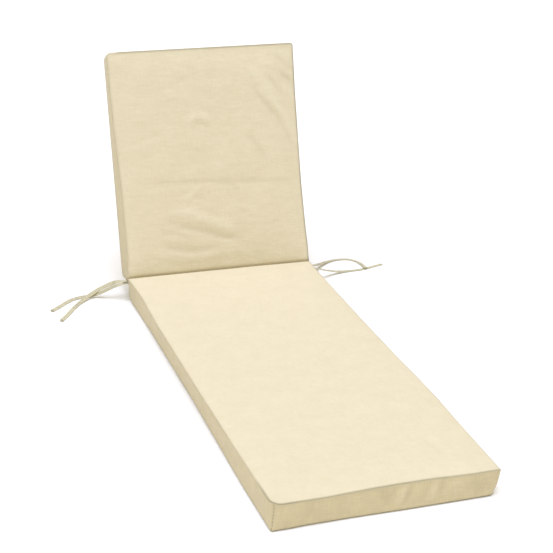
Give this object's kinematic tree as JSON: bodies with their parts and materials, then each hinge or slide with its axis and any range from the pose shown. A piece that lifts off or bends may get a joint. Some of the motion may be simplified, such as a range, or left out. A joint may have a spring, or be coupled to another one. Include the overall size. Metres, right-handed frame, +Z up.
{
  "type": "sun lounger cushion",
  "caption": "Long boxed lounger cushion in plain cream cloth: a flat seat pad and a back pad raised on a sewn fold, with cloth tie strips at both ends of the fold.",
  "frame": {"origin": "on the resting surface, under the middle of the cushion's box without its ties", "axes": "+Z up, +Y from the foot end towards the raised back, +X across the cushion"},
  "size_m": [1.152, 1.6426, 0.7248],
  "materials": {
    "cushion_cloth": "plain woven cream cloth, matt",
    "tie_cloth": "the same cloth folded and stitched into narrow strips"
  },
  "bodies": {
    "root": {"cushion": "cushion_cloth", "tie_left_upper": "tie_cloth", "tie_left_lower": "tie_cloth", "tie_right_upper": "tie_cloth", "tie_right_lower": "tie_cloth"}
  },
  "joints": []
}
